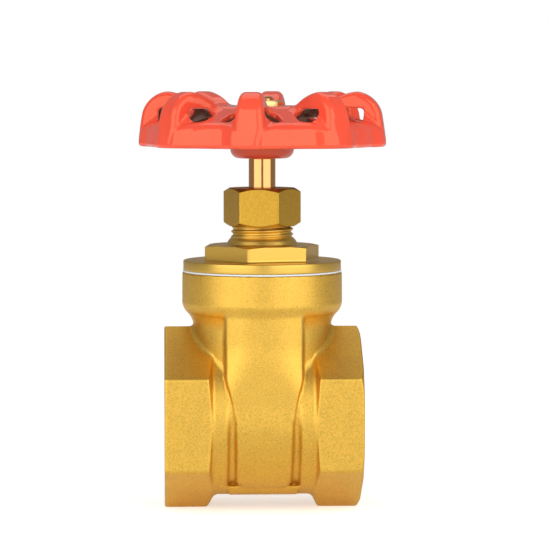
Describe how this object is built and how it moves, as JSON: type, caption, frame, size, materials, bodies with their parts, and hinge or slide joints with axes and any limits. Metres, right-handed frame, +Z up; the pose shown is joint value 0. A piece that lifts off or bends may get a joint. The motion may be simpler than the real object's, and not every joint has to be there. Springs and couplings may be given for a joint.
{
  "type": "gate valve",
  "caption": "Threaded brass gate valve with hexagonal socket ends, a screwed bonnet, a non-rising stem and a lobed red handwheel.",
  "frame": {"origin": "on the stem axis, level with the lowest corner of the hexagonal ends", "axes": "+Z up the stem towards the handwheel, +X along the flow towards the outlet end"},
  "size_m": [0.063, 0.063, 0.1064],
  "materials": {
    "forged_brass": "forged and shot blasted, matt",
    "turned_brass": "turned, satin with fine rings",
    "blasted_brass_nut": "drawn hexagon bar, lightly grained",
    "polished_brass": "polished",
    "gasket": "plain sealing sheet",
    "ptfe": "moulded fluoropolymer, waxy",
    "red_enamel": "glossy stove enamel",
    "zinc_steel": "bright zinc plating",
    "plated_nut": "yellow passivated zinc plating"
  },
  "bodies": {
    "valve": {"valve_body": "forged_brass", "bonnet_gasket": "gasket", "bonnet": "turned_brass", "lower_thrust_washer": "ptfe", "upper_thrust_washer": "ptfe", "packing_ring_lower": "ptfe", "packing_ring_middle": "ptfe", "packing_ring_upper": "ptfe", "gland_follower": "turned_brass", "packing_nut": "blasted_brass_nut"},
    "spindle": {"stem": "polished_brass", "handwheel": "red_enamel", "plain_washer": "zinc_steel", "spring_washer": "zinc_steel", "wheel_nut": "plated_nut"},
    "gate": {"gate_wedge": "forged_brass"}
  },
  "joints": [
    {"name": "stem_turn", "type": "hinge", "parent": "valve", "child": "spindle", "pos_m": [0, 0, 0.08937], "axis": [0, 0, 1], "range_deg": [0, 3240]},
    {"name": "gate_slide", "type": "slide", "parent": "valve", "child": "gate", "axis": [0, 0, 1], "range_m": [0, 0.0225]}
  ],
  "couplings": [
    {"joint": "gate_slide", "follows": "stem_turn", "m_per_rad": 0.00039789}
  ]
}
